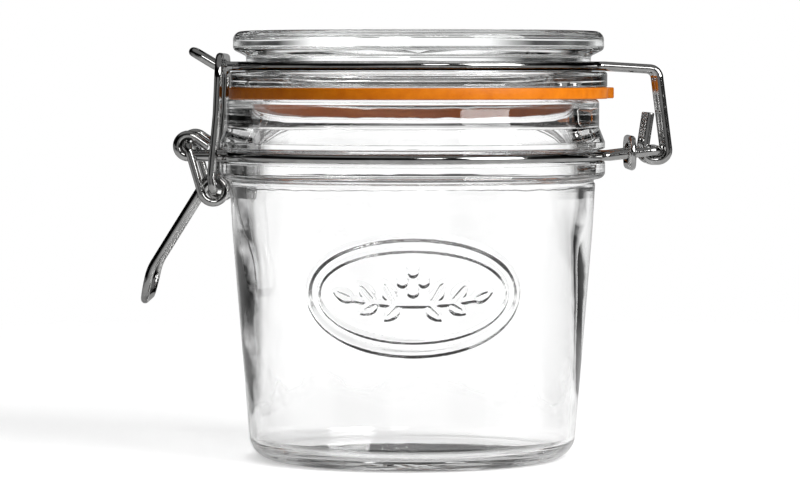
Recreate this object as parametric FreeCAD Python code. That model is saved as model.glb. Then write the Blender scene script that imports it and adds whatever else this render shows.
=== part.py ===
"""Clip-top preserving jar: glass jar and lid, rubber seal, and the four bent wires that clamp them.

Frame: millimetres, +Z up, origin on the jar's axis at the level of its foot.
The hinge is on the +X side, the clamp lever on the -X side, and both sides of Y are alike.
Each wire is swept along one half of its route, from the middle of its crossbar, then mirrored.
"""
import FreeCAD, Part

import math
import os

Vector = FreeCAD.Vector

# --- Jar glass: radii, and heights above the foot ---
RECESS_HEIGHT = 1.6          # push-up under the middle of the base
RECESS_EDGE_HEIGHT = 1.2
RECESS_RADIUS = 26.5
RECESS_ROUND = 2.0
FOOT_INNER_RADIUS = 29.5
HEEL_RADIUS = 40.4           # of the sharp corner, before the heel is rounded
HEEL_ROUND = 5.8
WALL_MID_RADIUS = 45.0       # the wall tapers up to here and then stands almost upright
WALL_MID_HEIGHT = 57.5
WALL_MID_ROUND = 120.0
WALL_TOP_RADIUS = 45.65
WALL_TOP_HEIGHT = 68.6
UNDERCUT_RADIUS = 44.7       # crease between wall and bead
UNDERCUT_HEIGHT = 69.5
BEAD_RADIUS = 48.1
BEAD_BOTTOM = 70.2
BEAD_TOP = 74.3
BEAD_ROUND = 1.7
NECK_GROOVE_RADIUS = 46.3
NECK_GROOVE_BOTTOM = 74.5
NECK_GROOVE_TOP = 76.9
FLANGE_RADIUS = 48.05
FLANGE_BOTTOM = 77.4
FLANGE_TOP = 79.0
NECK_RADIUS = 46.6
NECK_BOTTOM = 82.6
RIM_HEIGHT = 89.7
RIM_ROUND = 1.2
MOUTH_RADIUS = 40.2
THROAT_RADIUS = 41.0         # the mouth narrows a little from here up to the rim
THROAT_HEIGHT = 83.5
THROAT_ROUND = 12.0
CAVITY_TOP_RADIUS = 41.6     # inside, level with the bead
CAVITY_TOP_HEIGHT = 67.0
CAVITY_TOP_ROUND = 40.0
CAVITY_FLOOR_RADIUS = 38.9
CAVITY_FLOOR_HEIGHT = 3.2
CAVITY_FLOOR_ROUND = 2.6
FLOOR_RISE_RADIUS = 26.0     # inside this the floor rises gently to its middle
FLOOR_RISE_HEIGHT = 3.4
FLOOR_RISE_ROUND = 12.0
FLOOR_MIDDLE_HEIGHT = 4.2
SOFT_EDGE = 0.8              # usual rounding of a moulded edge
FINE_EDGE = 0.5

# --- Lid glass and seal, round an axis that sits nearer the hinge ---
LID_AXIS_X = 1.5
SEAL_THICKNESS = 2.8
SEAL_OUTER_RADIUS = 47.3
SEAL_INNER_RADIUS = 39.5
TAB_AZIMUTH = 22.0           # degrees from +X towards +Y
TAB_REACH = 53.2
TAB_WIDTH = 14.0
TAB_ROUND = 2.5
LID_FLANGE_RADIUS = 47.1
LID_FLANGE_THICKNESS = 4.0
LID_GROOVE_RADIUS = 43.0
LID_GROOVE_TOP = 100.3
LID_CROWN_RADIUS = 46.25
LID_CROWN_BOTTOM = 101.9
LID_CROWN_BOTTOM_ROUND = 1.3
LID_CROWN_TOP_ROUND = 2.2
LID_TOP = 106.5
DISH_DEPTH = 1.2             # shallow dish in the top, inside the stacking rim
DISH_OUTER_RADIUS = 40.6
DISH_INNER_RADIUS = 38.6
PLUG_TOP_RADIUS = 39.2       # low ring under the lid that the seal fits round
PLUG_BOTTOM_RADIUS = 38.6
PLUG_BOTTOM = 91.8
PLUG_WALL = 4.2
DOME_EDGE_RADIUS = 33.8      # hollow underside
DOME_EDGE_HEIGHT = 98.0
DOME_HEIGHT = 99.2
DOME_ROUND = 3.0

# --- Wires ---
NECK_WIRE = 2.3              # diameters
LID_WIRE = 2.3
CLAMP_WIRE = 2.0
KEEPER_WIRE = 1.9
GLASS_GAP = 0.02             # between a wire and the floor of its groove
RUNNING_GAP = 0.3            # between wires that move past each other
HOOP_BEND = 3.0              # where a hoop turns out into a strand
BAR_BEND = 2.6               # where a strand turns into a crossbar
END_ROUND = 0.3              # cut ends

NECK_HOOP_HEIGHT = 75.55
HINGE = Vector(60.8, 0, 77.0)        # axis of the crossbar that carries the lid
HINGE_BAR_HALF = 9.5
EYE = Vector(-55.1, 0, 78.2)         # axis of the eyes that carry the lever
EYE_SPREAD = 15.5                    # from the jar's middle plane to each eye
EYE_TAIL_ANGLE = 55.0                # where the cut end leaves the eye
EYE_TAIL = 4.2

KEEPER_X = 54.3
KEEPER_HEIGHT = 8.6

LID_HOOP_HEIGHT = 97.8
NOSE_BEND_X = -48.5
NOSE_BEND_ROUND = 3.0
NOSE = Vector(-54.4, 0, 101.35)      # crossbar of the upturned nose
NOSE_SPREAD = 7.0
LEG_SPREAD = 6.3
LEG_TOP = Vector(60.8, 0, 97.0)      # corner where a hinge leg turns down
LEG_ROUND = 2.3
HOOK_OUTER = Vector(63.7, 0, 74.45)  # corners of the hook under the hinge crossbar
HOOK_OUTER_ROUND = 2.52
HOOK_INNER = Vector(57.1, 0, 74.45)
HOOK_INNER_ROUND = 2.2
HOOK_END = Vector(58.9, 0, 86.3)

LINK_PIN = Vector(-48.9, 0, 67.3)    # axis of the lever's loops, where the link hangs
LOOP_ROUND = 2.95
LOOP_STEPS = 7
HANDLE_BEND = Vector(-64.5, 0, 47.9)
HANDLE_BEND_ROUND = 12.0
HANDLE_END = Vector(-66.2, 0, 40.1)
HANDLE_CORNER = 6.0
PIN_BEND = 1.7
PIN_PROUD = 1.4                      # how far a pivot end shows past its eye or loop

LINK_BAR_X = -47.25
LINK_BAR_GAP = 0.1                   # over the nose wire
LINK_CORNER = 5.0
LINK_BEND = Vector(-47.85, 0, 86.0)  # the sides lean out below here
LINK_BEND_ROUND = 30.0
LINK_FOOT = Vector(-49.3, 0, 71.0)   # and back in to their pivot
LINK_FOOT_ROUND = 6.0

# --- Degrees ---
QUARTER_TURN = 90
HALF_TURN = 180
FULL_TURN = 360

# --- Worked out from the above ---
LID_SEAT = RIM_HEIGHT + SEAL_THICKNESS
NECK_HOOP_RADIUS = NECK_GROOVE_RADIUS + NECK_WIRE / 2 + GLASS_GAP
LID_HOOP_RADIUS = LID_GROOVE_RADIUS + LID_WIRE / 2 + GLASS_GAP
EYE_ROUND = EYE.z - NECK_HOOP_HEIGHT
LEVER_SPREAD = EYE_SPREAD + (NECK_WIRE + CLAMP_WIRE) / 2 + RUNNING_GAP
HANDLE_SPREAD = LEVER_SPREAD - CLAMP_WIRE - RUNNING_GAP / 2
LINK_SPREAD = LEVER_SPREAD + CLAMP_WIRE + RUNNING_GAP
LINK_BAR_HEIGHT = LID_HOOP_HEIGHT + (LID_WIRE + CLAMP_WIRE) / 2 + LINK_BAR_GAP


def rounded_path(corners, closed=False):
    """Edges of straight runs joined by tangent arcs. Each corner is (point, radius of its arc)."""
    turns = []
    for index, (point, radius) in enumerate(corners):
        is_end = not closed and index in (0, len(corners) - 1)
        if is_end or radius == 0:
            turns.append((point, None, point))
            continue
        back = (corners[index - 1][0] - point).normalize()
        ahead = (corners[(index + 1) % len(corners)][0] - point).normalize()
        half_angle = back.getAngle(ahead) / 2
        reach = radius / math.tan(half_angle)
        depth = radius / math.sin(half_angle) - radius
        inward = (back + ahead).normalize()
        turns.append((point + back * reach, point + inward * depth, point + ahead * reach))

    edges = []
    for index, (start, middle, end) in enumerate(turns):
        if middle is not None:
            edges.append(Part.Arc(start, middle, end).toShape())
        if index + 1 < len(turns) or closed:
            following = turns[(index + 1) % len(turns)][0]
            if end.distanceToPoint(following) > Part.Precision.confusion():
                edges.append(Part.LineSegment(end, following).toShape())
    return edges


def revolved(corners, axis_x=0.0):
    """Solid turned from a half section. Each corner is (radius, height, rounding)."""
    section = [(Vector(axis_x + r, 0, z), rounding) for r, z, rounding in corners]
    outline = Part.Wire(rounded_path(section, closed=True))
    return Part.Face(outline).revolve(Vector(axis_x, 0, 0), Vector(0, 0, 1), FULL_TURN)


def swept(edges, diameter):
    """Round wire along a path."""
    path = Part.Wire(edges)
    first = edges[0]
    section = Part.makeCircle(
        diameter / 2,
        first.valueAt(first.FirstParameter),
        first.tangentAt(first.FirstParameter),
    )
    return path.makePipeShell([Part.Wire(section)], True, False)


def mirrored(half):
    """Both halves of a wire, joined where they meet on the middle plane."""
    other = half.mirror(Vector(0, 0, 0), Vector(0, 1, 0))
    return half.fuse(other).removeSplitter()


def with_rounded_end(half, tip, diameter):
    """Wire whose cut face at tip has its edge taken off."""
    rims = [
        edge
        for edge in half.Edges
        if isinstance(edge.Curve, Part.Circle)
        and edge.Curve.Center.distanceToPoint(tip) < END_ROUND
        and abs(edge.Curve.Radius - diameter / 2) < END_ROUND
    ]
    return half.makeFillet(END_ROUND, rims)


def at(place, spread):
    """A point of the middle plane, moved out sideways."""
    return Vector(place.x, spread, place.z)


def around(centre, radius, degrees, spread):
    """A point on a circle that lies in a plane of constant Y."""
    angle = math.radians(degrees)
    return Vector(centre.x + radius * math.cos(angle), spread, centre.z + radius * math.sin(angle))


def strand_start(hoop_radius, axis_x, height, spread, side):
    """Where a hoop's strand leaves the bend, on the hinge side (side 1) or clamp side (side -1)."""
    out = math.sqrt((hoop_radius + HOOP_BEND) ** 2 - (spread + HOOP_BEND) ** 2)
    return Vector(axis_x + side * out, spread, height)


def hoop_bend(hoop_radius, axis_x, height, spread, side):
    """Arc from a strand onto the hoop, as (strand end, middle, hoop end)."""
    strand = strand_start(hoop_radius, axis_x, height, spread, side)
    centre = strand + Vector(0, HOOP_BEND, 0)
    to_axis = (Vector(axis_x, 0, height) - centre).normalize()
    to_strand = Vector(0, -1, 0)
    middle = centre + (to_axis + to_strand).normalize() * HOOP_BEND
    return strand, middle, centre + to_axis * HOOP_BEND


def hoop(hoop_radius, axis_x, height, first_spread, last_spread, first_side):
    """Half a hoop in its groove, from the strand on one side to the strand on the other."""
    first = hoop_bend(hoop_radius, axis_x, height, first_spread, first_side)
    last = hoop_bend(hoop_radius, axis_x, height, last_spread, -first_side)
    back = Vector(axis_x, hoop_radius, height)
    return [
        Part.Arc(*first).toShape(),
        Part.Arc(first[2], back, last[2]).toShape(),
        Part.Arc(*reversed(last)).toShape(),
    ]


def jar_glass():
    """Moulded jar: footed base, tapering wall, bead, wire groove, flange and upright rim."""
    return revolved([
        (0, RECESS_HEIGHT, 0),
        (RECESS_RADIUS, RECESS_EDGE_HEIGHT, RECESS_ROUND),
        (FOOT_INNER_RADIUS, 0, SOFT_EDGE),
        (HEEL_RADIUS, 0, HEEL_ROUND),
        (WALL_MID_RADIUS, WALL_MID_HEIGHT, WALL_MID_ROUND),
        (WALL_TOP_RADIUS, WALL_TOP_HEIGHT, FINE_EDGE),
        (UNDERCUT_RADIUS, UNDERCUT_HEIGHT, FINE_EDGE),
        (BEAD_RADIUS, BEAD_BOTTOM, BEAD_ROUND),
        (BEAD_RADIUS, BEAD_TOP, SOFT_EDGE),
        (NECK_GROOVE_RADIUS, NECK_GROOVE_BOTTOM, FINE_EDGE),
        (NECK_GROOVE_RADIUS, NECK_GROOVE_TOP, FINE_EDGE),
        (FLANGE_RADIUS, FLANGE_BOTTOM, FINE_EDGE),
        (FLANGE_RADIUS, FLANGE_TOP, SOFT_EDGE),
        (NECK_RADIUS, NECK_BOTTOM, SOFT_EDGE),
        (NECK_RADIUS, RIM_HEIGHT, RIM_ROUND),
        (MOUTH_RADIUS, RIM_HEIGHT, RIM_ROUND),
        (THROAT_RADIUS, THROAT_HEIGHT, THROAT_ROUND),
        (CAVITY_TOP_RADIUS, CAVITY_TOP_HEIGHT, CAVITY_TOP_ROUND),
        (CAVITY_FLOOR_RADIUS, CAVITY_FLOOR_HEIGHT, CAVITY_FLOOR_ROUND),
        (FLOOR_RISE_RADIUS, FLOOR_RISE_HEIGHT, FLOOR_RISE_ROUND),
        (0, FLOOR_MIDDLE_HEIGHT, 0),
    ])


def lid_glass():
    """Pressed lid: dished crown, wire groove, flange on the seal, and a hollow plug in the mouth."""
    flange_top = LID_SEAT + LID_FLANGE_THICKNESS
    return revolved([
        (0, LID_TOP - DISH_DEPTH, 0),
        (DISH_INNER_RADIUS, LID_TOP - DISH_DEPTH, SOFT_EDGE),
        (DISH_OUTER_RADIUS, LID_TOP, SOFT_EDGE),
        (LID_CROWN_RADIUS, LID_TOP, LID_CROWN_TOP_ROUND),
        (LID_CROWN_RADIUS, LID_CROWN_BOTTOM, LID_CROWN_BOTTOM_ROUND),
        (LID_GROOVE_RADIUS, LID_GROOVE_TOP, SOFT_EDGE),
        (LID_GROOVE_RADIUS, flange_top, FINE_EDGE),
        (LID_FLANGE_RADIUS, flange_top, SOFT_EDGE),
        (LID_FLANGE_RADIUS, LID_SEAT, FINE_EDGE),
        (PLUG_TOP_RADIUS, LID_SEAT, 0),
        (PLUG_BOTTOM_RADIUS, PLUG_BOTTOM, SOFT_EDGE),
        (PLUG_BOTTOM_RADIUS - PLUG_WALL, PLUG_BOTTOM, SOFT_EDGE),
        (DOME_EDGE_RADIUS, DOME_EDGE_HEIGHT, DOME_ROUND),
        (0, DOME_HEIGHT, 0),
    ], LID_AXIS_X)


def seal():
    """Flat rubber ring with the tab that is pulled to let air in."""
    axis = Vector(LID_AXIS_X, 0, RIM_HEIGHT)
    disc = Part.makeCylinder(SEAL_OUTER_RADIUS, SEAL_THICKNESS, axis)
    tab = Part.makeBox(TAB_REACH, TAB_WIDTH, SEAL_THICKNESS, Vector(0, -TAB_WIDTH / 2, 0))
    corners = [
        edge
        for edge in tab.Edges
        if edge.Length == SEAL_THICKNESS and edge.CenterOfMass.x > TAB_REACH / 2
    ]
    tab = tab.makeFillet(TAB_ROUND, corners)
    tab.rotate(Vector(0, 0, 0), Vector(0, 0, 1), TAB_AZIMUTH)
    tab.translate(axis)
    hole = Part.makeCylinder(SEAL_INNER_RADIUS, SEAL_THICKNESS, axis)
    return disc.fuse(tab).cut(hole).removeSplitter()


def neck_wire():
    """Hoop in the jar's groove, with the hinge bracket on one side and two eyes on the other."""
    bar_corner = at(HINGE, HINGE_BAR_HALF)
    hinge_strand = strand_start(NECK_HOOP_RADIUS, 0, NECK_HOOP_HEIGHT, HINGE_BAR_HALF, 1)
    bracket = rounded_path([(HINGE, 0), (bar_corner, BAR_BEND), (hinge_strand, 0)])
    half_hoop = hoop(NECK_HOOP_RADIUS, 0, NECK_HOOP_HEIGHT, HINGE_BAR_HALF, EYE_SPREAD, 1)
    clamp_strand = strand_start(NECK_HOOP_RADIUS, 0, NECK_HOOP_HEIGHT, EYE_SPREAD, -1)

    eye_bottom = around(EYE, EYE_ROUND, -QUARTER_TURN, EYE_SPREAD)
    eye_left = around(EYE, EYE_ROUND, HALF_TURN, EYE_SPREAD)
    eye_exit = around(EYE, EYE_ROUND, EYE_TAIL_ANGLE, EYE_SPREAD)
    tip = eye_exit + around(Vector(0, 0, 0), EYE_TAIL, EYE_TAIL_ANGLE - QUARTER_TURN, 0)
    eye = [
        Part.LineSegment(clamp_strand, eye_bottom).toShape(),
        Part.Arc(eye_bottom, eye_left, eye_exit).toShape(),
        Part.LineSegment(eye_exit, tip).toShape(),
    ]
    half = swept(bracket + half_hoop + eye, NECK_WIRE)
    return mirrored(with_rounded_end(half, tip, NECK_WIRE))


def keeper_ring():
    """Oval ring that holds the two hinge strands from springing apart."""
    rise = (HINGE.z - NECK_HOOP_HEIGHT) / (HINGE.x - NECK_HOOP_RADIUS)
    height = NECK_HOOP_HEIGHT + rise * (KEEPER_X - NECK_HOOP_RADIUS)
    half_height = (KEEPER_HEIGHT - KEEPER_WIRE) / 2
    half_width = HINGE_BAR_HALF + (NECK_WIRE + KEEPER_WIRE) / 2 + GLASS_GAP
    flat = half_width - half_height
    top_left = Vector(KEEPER_X, -flat, height + half_height)
    top_right = Vector(KEEPER_X, flat, height + half_height)
    low_left = Vector(KEEPER_X, -flat, height - half_height)
    low_right = Vector(KEEPER_X, flat, height - half_height)
    path = [
        Part.LineSegment(top_left, top_right).toShape(),
        Part.Arc(top_right, Vector(KEEPER_X, half_width, height), low_right).toShape(),
        Part.LineSegment(low_right, low_left).toShape(),
        Part.Arc(low_left, Vector(KEEPER_X, -half_width, height), top_left).toShape(),
    ]
    return swept(path, KEEPER_WIRE)


def lid_wire():
    """Hoop in the lid's groove, with the upturned nose and the two legs that hook on the hinge."""
    nose_strand = strand_start(LID_HOOP_RADIUS, LID_AXIS_X, LID_HOOP_HEIGHT, NOSE_SPREAD, -1)
    nose = rounded_path([
        (NOSE, 0),
        (at(NOSE, NOSE_SPREAD), BAR_BEND),
        (Vector(NOSE_BEND_X, NOSE_SPREAD, LID_HOOP_HEIGHT), NOSE_BEND_ROUND),
        (nose_strand, 0),
    ])
    half_hoop = hoop(LID_HOOP_RADIUS, LID_AXIS_X, LID_HOOP_HEIGHT, NOSE_SPREAD, LEG_SPREAD, -1)
    leg_strand = strand_start(LID_HOOP_RADIUS, LID_AXIS_X, LID_HOOP_HEIGHT, LEG_SPREAD, 1)

    tip = at(HOOK_END, LEG_SPREAD)
    leg = rounded_path([
        (leg_strand, 0),
        (at(LEG_TOP, LEG_SPREAD), LEG_ROUND),
        (at(HOOK_OUTER, LEG_SPREAD), HOOK_OUTER_ROUND),
        (at(HOOK_INNER, LEG_SPREAD), HOOK_INNER_ROUND),
        (tip, 0),
    ])
    half = swept(nose + half_hoop + leg, LID_WIRE)
    return mirrored(with_rounded_end(half, tip, LID_WIRE))


def touch_angle(point, centre, radius, side):
    """Where the line from a point touches a circle, in degrees round the circle's centre."""
    run = centre - point
    bearing = math.degrees(math.atan2(run.z, run.x))
    lean = math.degrees(math.asin(radius / math.hypot(run.x, run.z)))
    return bearing - side * (lean + QUARTER_TURN)


def clamp_lever():
    """Lever: a U-shaped handle whose legs coil into loops for the link and end in pivot pins."""
    leg_side = touch_angle(EYE, LINK_PIN, LOOP_ROUND, 1)
    bend_side = touch_angle(HANDLE_BEND, LINK_PIN, LOOP_ROUND, -1)
    sweep = (bend_side - leg_side) % FULL_TURN
    step = sweep / LOOP_STEPS
    corner_radius = LOOP_ROUND / math.cos(math.radians(step / 2))
    loop = []
    for index in range(LOOP_STEPS):
        share = (index + 0.5) / LOOP_STEPS
        spread = HANDLE_SPREAD + share * (LEVER_SPREAD - HANDLE_SPREAD)
        corner = around(LINK_PIN, corner_radius, bend_side - share * sweep, spread)
        loop.append((corner, LOOP_ROUND))
    tip = Vector(EYE.x, EYE_SPREAD - NECK_WIRE / 2 - PIN_PROUD, EYE.z)
    route = [
        (HANDLE_END, 0),
        (at(HANDLE_END, HANDLE_SPREAD), HANDLE_CORNER),
        (at(HANDLE_BEND, HANDLE_SPREAD), HANDLE_BEND_ROUND),
        *loop,
        (at(EYE, LEVER_SPREAD), PIN_BEND),
        (tip, 0),
    ]
    half = swept(rounded_path(route), CLAMP_WIRE)
    return mirrored(with_rounded_end(half, tip, CLAMP_WIRE))


def clamp_link():
    """Link: a U of wire that hangs in the lever's loops, with its bar over the lid wire's nose."""
    bar = Vector(LINK_BAR_X, 0, LINK_BAR_HEIGHT)
    tip = Vector(LINK_PIN.x, HANDLE_SPREAD - CLAMP_WIRE / 2 - PIN_PROUD, LINK_PIN.z)
    route = [
        (bar, 0),
        (at(bar, LINK_SPREAD), LINK_CORNER),
        (at(LINK_BEND, LINK_SPREAD), LINK_BEND_ROUND),
        (at(LINK_FOOT, LINK_SPREAD), LINK_FOOT_ROUND),
        (at(LINK_PIN, LINK_SPREAD), PIN_BEND),
        (tip, 0),
    ]
    half = swept(rounded_path(route), CLAMP_WIRE)
    return mirrored(with_rounded_end(half, tip, CLAMP_WIRE))


PIECES = {
    "jar_glass": jar_glass,
    "neck_wire": neck_wire,
    "keeper_ring": keeper_ring,
    "lid_glass": lid_glass,
    "seal": seal,
    "lid_wire": lid_wire,
    "clamp_lever": clamp_lever,
    "clamp_link": clamp_link,
}

os.makedirs("parts", exist_ok=True)
for name, make in PIECES.items():
    solid = make()
    solid.exportStep(f"parts/{name}.step")
    print(name, solid.ShapeType, len(solid.Solids), solid.isValid(), round(solid.Volume, 1))
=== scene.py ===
"""Clip-top preserving jar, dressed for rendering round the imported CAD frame.

Lengths in the shape code are millimetres in the CAD's own frame, and SCALE turns them into metres.
Lengths in the materials, the studio and the camera are metres.
"""
import math

import bpy
import numpy as np
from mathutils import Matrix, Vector


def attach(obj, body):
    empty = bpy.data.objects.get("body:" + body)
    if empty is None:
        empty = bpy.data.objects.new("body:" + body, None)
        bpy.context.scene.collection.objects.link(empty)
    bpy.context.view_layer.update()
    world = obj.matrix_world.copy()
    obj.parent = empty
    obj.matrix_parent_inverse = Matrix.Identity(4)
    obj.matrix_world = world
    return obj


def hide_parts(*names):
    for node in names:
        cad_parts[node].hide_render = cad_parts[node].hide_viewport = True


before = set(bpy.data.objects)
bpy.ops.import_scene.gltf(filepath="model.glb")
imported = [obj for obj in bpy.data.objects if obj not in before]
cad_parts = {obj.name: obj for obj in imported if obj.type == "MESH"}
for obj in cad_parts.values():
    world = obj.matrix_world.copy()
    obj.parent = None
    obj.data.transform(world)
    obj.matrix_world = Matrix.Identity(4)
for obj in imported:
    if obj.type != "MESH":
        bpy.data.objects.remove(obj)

scene = bpy.context.scene
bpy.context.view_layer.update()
SCALE = 0.001
TAU = 2 * math.pi

# Light crosses the thick glass many times before it leaves it.
GLASS_BOUNCES = 32
MIRROR_BOUNCES = 16
scene.cycles.max_bounces = GLASS_BOUNCES
scene.cycles.transmission_bounces = GLASS_BOUNCES
scene.cycles.glossy_bounces = MIRROR_BOUNCES

# --- Sections of revolved glass ---
ARC_STEP = math.radians(12.0)
RUN_STEP = 2.2
GUARD_RUN = 0.12
SMALLEST_RUN = 1e-6

# --- Jar glass: half section as (radius, height, rounding), foot first, outside then inside ---
JAR_OUTSIDE = [
    (0, 1.6, 0), (26.5, 1.2, 2.0), (29.5, 0, 0.8), (40.4, 0, 5.8), (45.0, 57.5, 120.0),
    (45.65, 68.6, 0.5), (44.7, 69.5, 0.5), (48.1, 70.2, 1.7), (48.1, 74.3, 0.8),
    (46.3, 74.5, 0.5), (46.3, 76.9, 0.5), (48.05, 77.4, 0.5), (48.05, 79.0, 0.8),
    (46.6, 82.6, 0.8), (46.6, 89.7, 1.2), (40.2, 89.7, 1.2),
]
JAR_INSIDE = [(41.0, 83.5, 12.0), (41.6, 67.0, 40.0), (38.9, 3.2, 2.6), (26.0, 3.4, 12.0), (0, 4.2, 0)]
JAR_AZIMUTH_STEP = TAU / 135
OUTSIDE_RADIUS = 42.5
CAVITY_RADIUS = 41.7

# --- Unevenness of moulded glass, as (seed, number of waves), with where it shows on the jar ---
CAVITY_WAVES = (7, 9)
CAVITY_WAVE_HEIGHT = 0.5
CAVITY_WAVES_FROM, CAVITY_WAVES_TO = 8.0, 89.0
CAVITY_FADE_IN = 20.0
CAVITY_CALM_ABOVE = 62.0
CAVITY_FADE_OUT = 12.0
SKIN_WAVES = (11, 9)
SKIN_WAVE_HEIGHT = 0.05
SKIN_WAVES_FROM, SKIN_WAVES_TO = 20, 66
LID_WAVES = (3, 7)
LID_WAVE_HEIGHT = 0.03

# --- Embossed sprig in an oval on the jar's front: heights over the wall ---
RELIEF_HEIGHT = 0.5
RELIEF_EDGE = 0.5
RELIEF_CENTRE_Z = 43.0
RELIEF_RADIUS = 44.4
RELIEF_HALF_ARC = 28.5
RELIEF_HALF_ANGLE = 0.75
RELIEF_MARGIN = 3.8
RELIEF_STEP = 0.36
OVAL_HALF_WIDTH = 27.0
OVAL_HALF_HEIGHT = 14.0
OVAL_LINE = 0.65
OVAL_LINE_GAP = 3.0
STEM_BEND = 0.0055
STEM_DROP = 2.2
STEM_HALF_WIDTH = 0.45
STEM_HALF_LENGTH = 15.5
LEAF_TAPER = 0.85
LEAF_END_SLACK = 0.02
VEIN_HALF_WIDTH = 0.28
VEIN_FROM, VEIN_TO = 0.05, 0.8
VEIN_DEPTH = 0.85
# Each leaf on the right: distance along the stem, heading, length and width. The left mirrors them.
LEAVES = [
    (4.2, 1.05, 7.0, 3.4), (9.2, 0.85, 6.6, 3.2), (14.4, 0.35, 6.0, 2.9),
    (3.0, -0.75, 5.6, 2.9), (8.4, -0.5, 5.4, 2.8),
]
BERRIES = [(0, 1.2), (-2.5, 3.6), (2.5, 3.6), (0, 6.0)]
BERRY_RADIUS = 1.45

# --- Lid glass, from the middle of its top, down its outside, to the middle of its hollow ---
LID_AXIS_X = 1.5
LID_SECTION = [
    (0, 105.3, 0), (38.6, 105.3, 0.8), (40.6, 106.5, 0.8), (46.25, 106.5, 2.2),
    (46.25, 101.9, 1.3), (43.0, 100.3, 0.8), (43.0, 96.5, 0.5), (47.1, 96.5, 0.8),
    (47.1, 92.5, 0.5), (39.2, 92.5, 0), (38.6, 91.8, 0.8), (34.4, 91.8, 0.8),
    (33.8, 98.0, 3.0), (0, 99.2, 0),
]
LID_AZIMUTHS = 320
LID_RIM_RADIUS = 42.0
LID_RIM_BOTTOM = 92.6

# --- Seal ---
SEAL_BOTTOM = 89.7
SEAL_TOP = 92.5
SEAL_OUTER = 47.3
SEAL_INNER = 39.5
SEAL_EDGE = 0.35
SEAL_EDGE_TURNS = np.radians([0, 18, 36, 54, 72, 90])
SEAL_AZIMUTHS = 480
TAB_AZIMUTH = math.radians(22.0)
TAB_REACH = 53.2
TAB_HALF_WIDTH = 7.0
TAB_ROUND = 2.5
TAB_HALF_ANGLE = 0.17
TAB_AZIMUTHS = 121
TAB_SEARCH_STEPS = 30

# --- Studio and camera ---
FLOOR_RADIUS = 0.55
FLOOR_SIDES = 96
FLOOR_TONE = 0.82
FLOOR_FADE = [(0.18, 0.0), (0.52, 1.0)]
FLOOR_NEAR_JAR = [(0.28, 1.0), (0.36, 0.0)]
# Painted shadow: the floor's glow fades under the jar's foot, against distance from the middle.
FLOOR_PAINTED_SHADOW = [(0.036, 0.28), (0.043, 1.0)]
FLOOR_GLOW_SEEN = 0.78
FLOOR_GLOW_THROUGH_GLASS = 0.66
FLOOR_GLOW_MIRRORED = 0.25
# Four bright quarters of the horizon, and the tone at degrees away from a quarter's middle.
BRIGHT_MIDDLE = math.radians(5.0)
QUARTERS = 4
QUARTER_DEGREES = 90.0
FLAGS = [(19, 1.0), (25, 0.4), (31, 0.03), (39, 0.03), (44, 0.1)]
FLAG_STOPS = [(degrees / QUARTER_DEGREES, tone) for degrees, tone in FLAGS]
# A dark band above the horizon, then a bright ceiling. Heights are 0.5 at the horizon and 1 overhead.
SKY_BAND = [(0.535, 1.0), (0.555, 0.02), (0.8, 0.02), (0.9, 1.0)]
CEILING = [(0.6, 0.0), (0.75, 1.0)]
# Bright under the horizon, but for one band, against how far down a ray points times a factor.
DOWNWARD_FACTOR = -3.0
BELOW_HORIZON = [(0.06, 0.0), (0.17, 0.9), (0.30, 0.9), (0.36, 0.0), (0.54, 0.0), (0.66, 0.95)]
WORLD_CHANGE_DIFFUSE = -0.88
WORLD_CHANGE_THROUGH_GLASS = 0.12
WORLD_CHANGE_MIRRORED = -0.68
LAMP_TARGET = (0, 0, 0.06)
CAMERA_LENS = 162.0
CAMERA_SENSOR = 36.0
CAMERA_PLACE = (-0.0031, -0.9, 0.0955)
CAMERA_DOWN = 2.8


# --- Shapes ---
def rounded_section(corners):
    """Points of a half section whose corners are arcs, with straight runs kept true to their ends."""
    points = []
    for index, (r, z, rounding) in enumerate(corners):
        here = Vector((r, z))
        if rounding == 0 or index in (0, len(corners) - 1):
            points.append(here)
            continue
        back = (Vector(corners[index - 1][:2]) - here).normalized()
        ahead = (Vector(corners[index + 1][:2]) - here).normalized()
        half = back.angle(ahead) / 2
        centre = here + (back + ahead).normalized() * (rounding / math.sin(half))
        start = here + back * (rounding / math.tan(half))
        end = here + ahead * (rounding / math.tan(half))
        turn = math.pi - 2 * half
        count = max(2, math.ceil(turn / ARC_STEP))
        first = start - centre
        sign = math.copysign(1.0, first.x * (end - centre).y - first.y * (end - centre).x)
        for step in range(count + 1):
            angle = sign * turn * step / count
            cos, sin = math.cos(angle), math.sin(angle)
            points.append(centre + Vector((first.x * cos - first.y * sin, first.x * sin + first.y * cos)))
    filled = [points[0]]
    for before, after in zip(points, points[1:]):
        length = (after - before).length
        if length > 4 * GUARD_RUN:
            between = length - 2 * GUARD_RUN
            inner = max(1, math.ceil(between / RUN_STEP))
            stops = [GUARD_RUN + between * k / inner for k in range(inner + 1)]
            filled += [before.lerp(after, stop / length) for stop in stops]
        if length > SMALLEST_RUN:
            filled.append(after)
    return np.array([(p.x, p.y) for p in filled])


def mesh_object(name, vertices, faces, material, body):
    """Smooth-shaded mesh object in metres, riding on a CAD body."""
    mesh = bpy.data.meshes.new(name)
    mesh.from_pydata((np.asarray(vertices) * SCALE).tolist(), [], faces)
    mesh.update()
    mesh.polygons.foreach_set("use_smooth", [True] * len(mesh.polygons))
    mesh.materials.append(material)
    piece = bpy.data.objects.new(name, mesh)
    scene.collection.objects.link(piece)
    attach(piece, body)
    return piece


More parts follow.
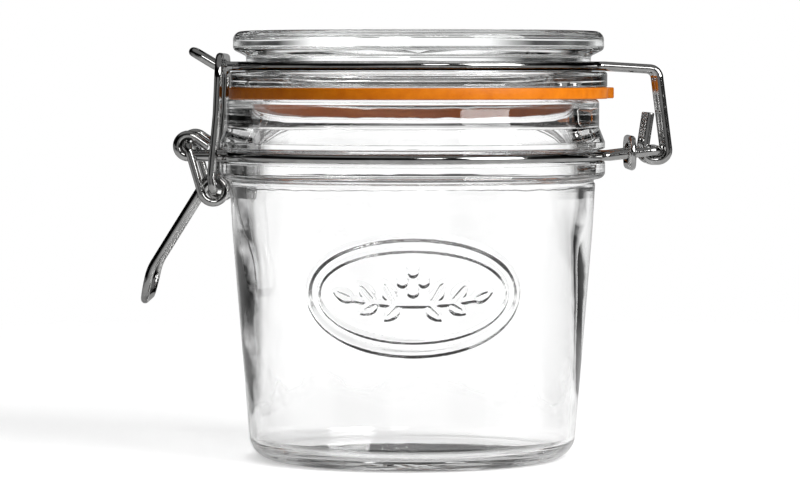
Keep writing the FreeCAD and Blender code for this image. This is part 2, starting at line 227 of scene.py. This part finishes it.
def revolved(section, azimuths, axis_x, shift):
    """Vertices and faces of a section turned round an upright axis, both ends on the axis.

    shift(radius, height, azimuth) gives how far each point moves out from the axis.
    """
    middle = section[1:-1]
    radius = middle[:, 0][:, None]
    height = middle[:, 1][:, None]
    around = np.asarray(azimuths)[None, :]
    r = radius + shift(radius, height, around)
    z = np.broadcast_to(height, r.shape)
    x = axis_x + r * np.sin(around)
    y = -r * np.cos(around)
    rows, count = r.shape
    grid = np.stack([x, y, z], axis=-1).reshape(-1, 3)
    first_end = [axis_x, 0, section[0, 1]]
    last_end = [axis_x, 0, section[-1, 1]]
    vertices = np.vstack([grid, first_end, last_end])
    first_pole, last_pole = rows * count, rows * count + 1
    faces = []
    for row in range(rows - 1):
        for k in range(count):
            a, b = row * count + k, row * count + (k + 1) % count
            faces.append((a, b, b + count, a + count))
    last_row = (rows - 1) * count
    for k in range(count):
        following = (k + 1) % count
        faces.append((first_pole, following, k))
        faces.append((last_row + k, last_row + following, last_pole))
    return vertices, faces


def plateau(inside):
    """Smooth step up over the edge of a shape, from how far inside it a point lies."""
    t = np.clip(inside / RELIEF_EDGE + 0.5, 0, 1)
    return t * t * (3 - 2 * t)


def leaf(s, z, base, heading, length, width):
    """A pointed leaf with a groove down its middle."""
    cos, sin = math.cos(heading), math.sin(heading)
    along = ((s - base[0]) * cos + (z - base[1]) * sin) / length
    across = -(s - base[0]) * sin + (z - base[1]) * cos
    half = width / 2 * np.sin(math.pi * np.clip(along, 0, 1) ** LEAF_TAPER)
    in_length = (along > -LEAF_END_SLACK) * (along < 1 + LEAF_END_SLACK)
    blade = plateau(half - np.abs(across)) * in_length
    vein = plateau(VEIN_HALF_WIDTH - np.abs(across)) * (along > VEIN_FROM) * (along < VEIN_TO)
    return blade * (1 - VEIN_DEPTH * vein)


def oval_line(s, z, half_width, half_height, line):
    """A raised line along an oval."""
    ratio = np.sqrt((s / half_width) ** 2 + (z / half_height) ** 2)
    steepness = np.sqrt((s / half_width**2) ** 2 + (z / half_height**2) ** 2)
    slope = steepness / np.maximum(ratio, 1e-6)
    return plateau(line - np.abs(ratio - 1) / np.maximum(slope, 1e-6))


def relief(s, z):
    """Height of the embossing at arc distance s from the front and height z above its centre."""
    inner_width, inner_height = OVAL_HALF_WIDTH - OVAL_LINE_GAP, OVAL_HALF_HEIGHT - OVAL_LINE_GAP
    height = np.maximum(
        oval_line(s, z, OVAL_HALF_WIDTH, OVAL_HALF_HEIGHT, OVAL_LINE),
        oval_line(s, z, inner_width, inner_height, OVAL_LINE / 2),
    )
    stem_z = STEM_BEND * s * s - STEM_DROP
    from_stem = np.abs(z - stem_z) / np.sqrt(1 + (2 * STEM_BEND * s) ** 2)
    stem = plateau(STEM_HALF_WIDTH - from_stem) * (np.abs(s) < STEM_HALF_LENGTH)
    height = np.maximum(height, stem)
    for at, tilt, length, width in LEAVES:
        start_z = STEM_BEND * at * at - STEM_DROP
        for side in (1, -1):
            heading = tilt if side > 0 else math.pi - tilt
            height = np.maximum(height, leaf(s, z, (side * at, start_z), heading, length, width))
    for berry_s, berry_z in BERRIES:
        height = np.maximum(height, plateau(BERRY_RADIUS - np.hypot(s - berry_s, z - berry_z)))
    return RELIEF_HEIGHT * height


def ripple(around, height, seed, waves):
    """Slow unevenness of moulded glass, between -1 and 1, the same each run."""
    draw = np.random.RandomState(seed)
    total = np.zeros(np.broadcast(around, height).shape)
    for _ in range(waves):
        turns = draw.randint(3, 15)
        rise = draw.uniform(0.01, 0.16)
        phase, lean = draw.uniform(0, TAU, 2)
        total += np.sin(turns * around + phase + rise * height + np.sin(rise * height + lean))
    return total / waves


def jar_shift(radius, height, around):
    """Embossing on the front of the wall, its faint waves, and the slight waviness of the cavity."""
    wall = (radius > OUTSIDE_RADIUS) & (height > SKIN_WAVES_FROM) & (height < SKIN_WAVES_TO)
    signed = np.where(around > math.pi, around - TAU, around)
    embossing = np.where(
        wall & (np.abs(signed) < RELIEF_HALF_ANGLE),
        relief(signed * RELIEF_RADIUS, height - RELIEF_CENTRE_Z),
        0.0,
    )
    cavity = (radius < CAVITY_RADIUS) & (height > CAVITY_WAVES_FROM) & (height < CAVITY_WAVES_TO)
    fade_in = np.clip((height - CAVITY_WAVES_FROM) / CAVITY_FADE_IN, 0, 1)
    fade_out = np.clip((CAVITY_CALM_ABOVE - height) / CAVITY_FADE_OUT, 0, 1)
    waves = CAVITY_WAVE_HEIGHT * fade_in * fade_out * ripple(around, height, *CAVITY_WAVES)
    inside = np.where(cavity, waves, 0.0)
    skin = np.where(wall, SKIN_WAVE_HEIGHT * ripple(around, height, *SKIN_WAVES), 0.0)
    return embossing + inside + skin


def lid_shift(radius, height, around):
    """Pressed glass, very slightly uneven round the rim."""
    rim = (radius > LID_RIM_RADIUS) & (height > LID_RIM_BOTTOM)
    return np.where(rim, LID_WAVE_HEIGHT * ripple(around, height, *LID_WAVES), 0.0)


def front_dense_azimuths(fine_step, fine_half, coarse_step):
    """Azimuths round the jar from the front, closer together where the embossing is."""
    fine = np.arange(-fine_half, fine_half + fine_step / 2, fine_step)
    gap = TAU - 2 * fine[-1]
    count = max(3, round(gap / coarse_step))
    coarse = fine[-1] + gap * np.arange(1, count) / count
    return np.concatenate([fine, coarse]) % TAU


def jar_section():
    """The jar's half section, with closer rows down the outside where the embossing is."""
    section = rounded_section(JAR_OUTSIDE + JAR_INSIDE)
    radii, heights = section[:, 0], section[:, 1]
    reach = OVAL_HALF_HEIGHT + RELIEF_MARGIN
    is_wall = (
        (radii > OUTSIDE_RADIUS)
        & (heights > RELIEF_CENTRE_Z - reach)
        & (heights < RELIEF_CENTRE_Z + reach)
    )
    first, last = np.flatnonzero(is_wall)[[0, -1]]
    fine_heights = np.arange(heights[first], heights[last], RELIEF_STEP)
    fine_radii = np.interp(fine_heights, heights[first:last + 1], radii[first:last + 1])
    return np.vstack([section[:first], np.column_stack([fine_radii, fine_heights]), section[last:]])


def seal_outline(angle):
    """Outer edge of the seal at an angle from +X towards +Y, tab included."""
    disc_x = LID_AXIS_X * math.cos(angle)
    ring = disc_x + math.sqrt(SEAL_OUTER**2 - (LID_AXIS_X * math.sin(angle)) ** 2)
    turn = (angle - TAB_AZIMUTH + math.pi) % TAU - math.pi
    if abs(turn) > math.pi / 4 or abs(ring * math.sin(turn)) > TAB_HALF_WIDTH:
        return ring
    corner_x, corner_y = TAB_REACH - TAB_ROUND, TAB_HALF_WIDTH - TAB_ROUND
    low, high = ring, TAB_REACH
    for _ in range(TAB_SEARCH_STEPS):
        middle = (low + high) / 2
        x, y = middle * math.cos(turn), abs(middle * math.sin(turn))
        if x > corner_x and y > corner_y:
            outside_tab = math.hypot(x - corner_x, y - corner_y) > TAB_ROUND
        else:
            outside_tab = x > TAB_REACH or y > TAB_HALF_WIDTH
        low, high = (low, middle) if outside_tab else (middle, high)
    return low


def outward(loop):
    """Unit vectors that point out of an anticlockwise loop."""
    along = np.roll(loop, -1, axis=0) - np.roll(loop, 1, axis=0)
    normal = np.column_stack([along[:, 1], -along[:, 0]])
    return normal / np.linalg.norm(normal, axis=1)[:, None]


def seal_mesh():
    """Ring with the tab, its edges a little rounded."""
    angles = np.arange(SEAL_AZIMUTHS) * TAU / SEAL_AZIMUTHS
    near_tab = TAB_AZIMUTH + np.linspace(-TAB_HALF_ANGLE, TAB_HALF_ANGLE, TAB_AZIMUTHS)
    angles = np.unique(np.concatenate([angles, near_tab % TAU]))
    reach = np.array([seal_outline(angle) for angle in angles])
    outer = np.column_stack([reach * np.cos(angles), reach * np.sin(angles)])
    inner = np.column_stack([LID_AXIS_X + SEAL_INNER * np.cos(angles), SEAL_INNER * np.sin(angles)])
    rows = []
    for edge_z, up, loops in ((SEAL_TOP, 1, (outer, inner)), (SEAL_BOTTOM, -1, (inner, outer))):
        for loop, turns in zip(loops, (SEAL_EDGE_TURNS, SEAL_EDGE_TURNS[::-1])):
            side = -1 if loop is outer else 1
            for turn in turns:
                offset = side * SEAL_EDGE * (1 - math.cos(turn))
                rows.append((loop, offset, edge_z - up * SEAL_EDGE * (1 - math.sin(turn))))
    count = len(angles)
    grid = [np.column_stack([loop + outward(loop) * offset, np.full(count, z)]) for loop, offset, z in rows]
    faces = []
    for row in range(len(rows)):
        here, below = row * count, (row + 1) % len(rows) * count
        for k in range(count):
            following = (k + 1) % count
            faces.append((here + k, below + k, below + following, here + following))
    return np.vstack(grid), faces


# --- Materials ---
def grey(value):
    """Opaque grey of one tone."""
    return (value, value, value, 1)


class NodeTree:
    """Shorthand for adding and linking the nodes of one material or world."""

    def __init__(self, node_tree):
        self.nodes = node_tree.nodes
        self.links = node_tree.links

    def add(self, kind, **settings):
        """New node, with its settings such as operation or data_type."""
        node = self.nodes.new(kind)
        for name, value in settings.items():
            setattr(node, name, value)
        return node

    def link(self, source, target):
        """Link from an output socket to an input socket."""
        self.links.new(source, target)

    def maths(self, operation, *values):
        """Result of a Math node on numbers or sockets."""
        node = self.add("ShaderNodeMath", operation=operation)
        for index, value in enumerate(values):
            if isinstance(value, (int, float)):
                node.inputs[index].default_value = value
            else:
                self.link(value, node.inputs[index])
        return node.outputs["Value"]

    def object_place(self):
        """Position in the object's own coordinates, in metres."""
        return self.add("ShaderNodeTexCoord").outputs["Object"]

    def distance(self, place):
        """Length of a position vector."""
        node = self.add("ShaderNodeVectorMath", operation="LENGTH")
        self.link(place, node.inputs[0])
        return node.outputs["Value"]

    def split(self, vector):
        """X, Y and Z outputs of a vector."""
        node = self.add("ShaderNodeSeparateXYZ")
        self.link(vector, node.inputs["Vector"])
        return node.outputs

    def noise(self, scale, detail, roughness=0.5):
        """Noise over the object, about 0.3 to 0.7."""
        node = self.add("ShaderNodeTexNoise")
        node.inputs["Scale"].default_value = scale
        node.inputs["Detail"].default_value = detail
        node.inputs["Roughness"].default_value = roughness
        self.link(self.object_place(), node.inputs["Vector"])
        return node.outputs["Fac"]

    def ramp(self, factor, stops):
        """Colour ramp from (position, colour) stops."""
        node = self.add("ShaderNodeValToRGB")
        elements = node.color_ramp.elements
        while len(elements) < len(stops):
            elements.new(0.5)
        for element, (position, colour) in zip(elements, stops):
            element.position = position
            element.color = colour
        self.link(factor, node.inputs["Fac"])
        return node.outputs["Color"]

    def tone_ramp(self, factor, stops):
        """Ramp of greys from (position, tone) stops."""
        return self.ramp(factor, [(position, grey(tone)) for position, tone in stops])

    def bump(self, shader, height, strength, distance):
        """Bump on a shader's normal; distance is the relief's depth in metres."""
        node = self.add("ShaderNodeBump")
        node.inputs["Strength"].default_value = strength
        node.inputs["Distance"].default_value = distance
        self.link(height, node.inputs["Height"])
        self.link(node.outputs["Normal"], shader.inputs["Normal"])

    def flag_tone(self, x, y):
        """Tone of the horizon in a direction: bright in four quarters, with dark flags between them."""
        azimuth = self.maths("ARCTAN2", x, y)
        turns = self.maths("MULTIPLY", self.maths("SUBTRACT", azimuth, BRIGHT_MIDDLE), QUARTERS / TAU)
        offset = self.maths("ABSOLUTE", self.maths("SUBTRACT", turns, self.maths("ROUND", turns)))
        return self.tone_ramp(offset, FLAG_STOPS)


def new_material(name):
    """Material, its node tree and its shader."""
    material = bpy.data.materials.new(name)
    material.use_nodes = True
    return material, NodeTree(material.node_tree), material.node_tree.nodes["Principled BSDF"]


def glass_material(name, bump_scale, bump_strength):
    """Clear soda glass: smooth, faintly uneven, a little grey-green where it is thick."""
    material, tree, shader = new_material(name)
    shader.inputs["Base Color"].default_value = grey(1.0)
    shader.inputs["Transmission Weight"].default_value = 1.0
    shader.inputs["IOR"].default_value = 1.5
    tree.bump(shader, tree.noise(scale=bump_scale, detail=2.0), bump_strength, distance=0.0004)
    smudges = tree.noise(scale=55.0, detail=3.0)
    tree.link(tree.tone_ramp(smudges, [(0.5, 0.0), (0.8, 0.02)]), shader.inputs["Roughness"])
    body = tree.add("ShaderNodeVolumeAbsorption")
    body.inputs["Color"].default_value = (0.80, 0.86, 0.84, 1)
    body.inputs["Density"].default_value = 2.5
    tree.link(body.outputs["Volume"], tree.nodes["Material Output"].inputs["Volume"])
    return material


def rubber_material():
    """Orange rubber: matt, finely grained, mottled, with painted shade making it browner towards its inner
    edge, where it lies in shade under the lid.
    """
    material, tree, shader = new_material("seal_rubber")
    mottle = tree.noise(scale=260.0, detail=5.0, roughness=0.6)
    mottled_orange = tree.ramp(mottle, [
        (0.3, (0.70, 0.165, 0.004, 1)), (0.55, (0.82, 0.22, 0.006, 1)), (0.75, (0.88, 0.26, 0.012, 1)),
    ])
    level = tree.add("ShaderNodeVectorMath", operation="MULTIPLY")
    level.inputs[1].default_value = (1, 1, 0)
    tree.link(tree.object_place(), level.inputs[0])
    # Painted shade: inside a radius the ring's colour is mixed towards brown, standing in for the shade
    # under the lid.
    inner_painted_shade = tree.add("ShaderNodeMapRange")
    inner_painted_shade.inputs["From Min"].default_value = 0.0432
    inner_painted_shade.inputs["From Max"].default_value = 0.0448
    inner_painted_shade.inputs["To Min"].default_value = 0.75
    inner_painted_shade.inputs["To Max"].default_value = 0.0
    tree.link(tree.distance(level.outputs["Vector"]), inner_painted_shade.inputs["Value"])
    colour = tree.add("ShaderNodeMix", data_type="RGBA")
    tree.link(inner_painted_shade.outputs["Result"], colour.inputs["Factor"])
    tree.link(mottled_orange, colour.inputs["A"])
    colour.inputs["B"].default_value = (0.22, 0.085, 0.06, 1)
    tree.link(colour.outputs["Result"], shader.inputs["Base Color"])
    shader.inputs["IOR"].default_value = 1.5
    shader.inputs["Specular IOR Level"].default_value = 0.2
    dust = tree.noise(scale=900.0, detail=3.0)
    tree.link(tree.tone_ramp(dust, [(0.3, 0.3), (0.7, 0.46)]), shader.inputs["Roughness"])
    grain = tree.noise(scale=2200.0, detail=4.0, roughness=0.6)
    tree.bump(shader, grain, strength=0.35, distance=0.0002)
    return material


def wire_material():
    """Bright drawn steel wire with fine scratches and faint stains."""
    material, tree, shader = new_material("drawn_wire")
    shader.inputs["Metallic"].default_value = 1.0
    stains = tree.noise(scale=190.0, detail=5.0, roughness=0.6)
    tone = tree.ramp(stains, [
        (0.3, (0.30, 0.298, 0.294, 1)), (0.6, (0.41, 0.41, 0.405, 1)), (0.8, grey(0.54)),
    ])
    tree.link(tone, shader.inputs["Base Color"])
    wear = tree.noise(scale=700.0, detail=4.0)
    tree.link(tree.tone_ramp(wear, [(0.3, 0.05), (0.75, 0.13)]), shader.inputs["Roughness"])
    scratches = tree.noise(scale=2600.0, detail=3.0)
    tree.bump(shader, scratches, strength=0.05, distance=0.0002)
    return material


jar_clear = glass_material("jar_clear_glass", bump_scale=90.0, bump_strength=0.12)
lid_clear = glass_material("lid_clear_glass", bump_scale=60.0, bump_strength=0.05)
rubber = rubber_material()
wire = wire_material()

# --- Pieces ---
jar_azimuths = front_dense_azimuths(
    RELIEF_STEP / RELIEF_RADIUS, RELIEF_HALF_ARC / RELIEF_RADIUS, JAR_AZIMUTH_STEP
)
vertices, faces = revolved(jar_section(), jar_azimuths, 0.0, jar_shift)
jar = mesh_object("jar_body", vertices, faces, jar_clear, "jar")
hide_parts("jar_glass")

# The lid's section runs from the hollow to the top, as the jar's does from foot to rim: both face outward.
lid_azimuths = np.arange(LID_AZIMUTHS) * TAU / LID_AZIMUTHS
vertices, faces = revolved(rounded_section(LID_SECTION[::-1]), lid_azimuths, LID_AXIS_X, lid_shift)
lid = mesh_object("lid_body", vertices, faces, lid_clear, "lid")
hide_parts("lid_glass")

vertices, faces = seal_mesh()
ring = mesh_object("seal_ring", vertices, faces, rubber, "lid")
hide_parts("seal")

# The wires keep their CAD meshes.
for node_name in ("neck_wire", "keeper_ring", "lid_wire", "clamp_lever", "clamp_link"):
    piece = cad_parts[node_name]
    piece.data.materials.clear()
    piece.data.materials.append(wire)


# --- Floor: pale round table that fades out into the studio, keeps the jar's shadow, and has a painted shadow under the jar ---
def floor_material():
    """Pale matt top that glows enough to look white, with a painted shadow under the jar, flagged far out.
    """
    material, tree, principled = new_material("pale_floor")
    tree.nodes.remove(principled)
    rays = tree.add("ShaderNodeLightPath").outputs
    place = tree.object_place()
    distance = tree.distance(place)
    across = tree.split(place)
    near_jar = tree.tone_ramp(distance, FLOOR_NEAR_JAR)
    lit = tree.maths("MAXIMUM", tree.flag_tone(across["X"], across["Y"]), near_jar)

    diffuse = tree.add("ShaderNodeBsdfDiffuse")
    bounced = tree.maths("MAXIMUM", rays["Is Transmission Ray"], rays["Is Glossy Ray"])
    dimmed = tree.maths("MULTIPLY", tree.maths("SUBTRACT", 1.0, lit), bounced)
    kept = tree.maths("SUBTRACT", 1.0, dimmed)
    tree.link(tree.maths("MULTIPLY", kept, FLOOR_TONE), diffuse.inputs["Color"])

    seen = tree.maths("MULTIPLY", rays["Is Camera Ray"], FLOOR_GLOW_SEEN)
    through = tree.maths("MULTIPLY", rays["Is Transmission Ray"], FLOOR_GLOW_THROUGH_GLASS)
    mirrored = tree.maths("MULTIPLY", rays["Is Glossy Ray"], FLOOR_GLOW_MIRRORED)
    indirect = tree.maths("MULTIPLY", tree.maths("MAXIMUM", through, mirrored), lit)
    # Painted shadow: the glow is dimmed under the jar's foot.
    painted_shadow_under_jar = tree.tone_ramp(distance, FLOOR_PAINTED_SHADOW)
    strength = tree.maths("MULTIPLY", tree.maths("MAXIMUM", seen, indirect), painted_shadow_under_jar)
    glow = tree.add("ShaderNodeEmission")
    tree.link(strength, glow.inputs["Strength"])

    both = tree.add("ShaderNodeAddShader")
    tree.link(diffuse.outputs["BSDF"], both.inputs[0])
    tree.link(glow.outputs["Emission"], both.inputs[1])
    clear = tree.add("ShaderNodeBsdfTransparent")
    fade = tree.add("ShaderNodeMixShader")
    tree.link(tree.tone_ramp(distance, FLOOR_FADE), fade.inputs["Fac"])
    tree.link(both.outputs["Shader"], fade.inputs[1])
    tree.link(clear.outputs["BSDF"], fade.inputs[2])
    tree.link(fade.outputs["Shader"], tree.nodes["Material Output"].inputs["Surface"])
    return material


floor_turns = [TAU * k / FLOOR_SIDES for k in range(FLOOR_SIDES)]
floor_rim = [(FLOOR_RADIUS * math.cos(turn), FLOOR_RADIUS * math.sin(turn), 0) for turn in floor_turns]
floor_mesh = bpy.data.meshes.new("floor")
floor_mesh.from_pydata(floor_rim, [], [tuple(range(FLOOR_SIDES))])
floor_mesh.materials.append(floor_material())
floor = bpy.data.objects.new("floor", floor_mesh)
scene.collection.objects.link(floor)


# --- World: white studio with dark flags between the main directions, and a bright ceiling ---
def studio_world():
    """White behind the object; dimmer for what lights it and for what the wires mirror."""
    world = bpy.data.worlds.new("studio")
    world.use_nodes = True
    world.cycles.sampling_method = "NONE"
    tree = NodeTree(world.node_tree)
    direction = tree.split(tree.add("ShaderNodeTexCoord").outputs["Generated"])
    flags = tree.flag_tone(direction["X"], direction["Y"])
    sky = tree.tone_ramp(tree.maths("MULTIPLY_ADD", direction["Z"], 0.5, 0.5), SKY_BAND)
    ceiling = tree.tone_ramp(direction["Z"], CEILING)
    below = tree.tone_ramp(tree.maths("MULTIPLY", direction["Z"], DOWNWARD_FACTOR), BELOW_HORIZON)
    brightest = tree.maths("MAXIMUM", tree.maths("MAXIMUM", flags, ceiling), below)
    tone = tree.maths("MULTIPLY", brightest, sky)

    rays = tree.add("ShaderNodeLightPath").outputs
    share = tree.maths("MULTIPLY_ADD", rays["Is Diffuse Ray"], WORLD_CHANGE_DIFFUSE, 1.0)
    share = tree.maths("MULTIPLY_ADD", rays["Is Transmission Ray"], WORLD_CHANGE_THROUGH_GLASS, share)
    only_mirrored = tree.maths("GREATER_THAN", rays["Is Glossy Ray"], rays["Is Transmission Ray"])
    share = tree.maths("MULTIPLY_ADD", only_mirrored, WORLD_CHANGE_MIRRORED, share)

    strength = tree.add("ShaderNodeMix", data_type="FLOAT")
    tree.link(rays["Is Camera Ray"], strength.inputs["Factor"])
    tree.link(tree.maths("MULTIPLY", tone, share), strength.inputs["A"])
    strength.inputs["B"].default_value = 1.0
    background = tree.nodes["Background"]
    background.inputs["Color"].default_value = grey(1.0)
    tree.link(strength.outputs["Result"], background.inputs["Strength"])
    return world


scene.world = studio_world()


# --- Lamps ---
def softbox(name, place, size, watts):
    """Rectangular soft lamp that faces the jar."""
    data = bpy.data.lights.new(name, "AREA")
    data.shape = "RECTANGLE"
    data.size, data.size_y = size
    data.energy = watts
    lamp = bpy.data.objects.new(name, data)
    lamp.location = place
    lamp.rotation_euler = (Vector(LAMP_TARGET) - Vector(place)).to_track_quat("-Z", "Y").to_euler()
    scene.collection.objects.link(lamp)


softbox("key_softbox", place=(1.1, -0.9, 0.75), size=(0.95, 0.9), watts=26.0)
softbox("front_softbox", place=(0.3, -1.5, 0.9), size=(0.4, 0.4), watts=3.5)

# --- Camera ---
camera_data = bpy.data.cameras.new("camera")
camera_data.lens = CAMERA_LENS
camera_data.sensor_width = CAMERA_SENSOR
camera = bpy.data.objects.new("camera", camera_data)
camera.location = CAMERA_PLACE
camera.rotation_euler = (math.radians(90 - CAMERA_DOWN), 0, 0)
scene.collection.objects.link(camera)
scene.camera = camera

scene.view_settings.view_transform = "Standard"
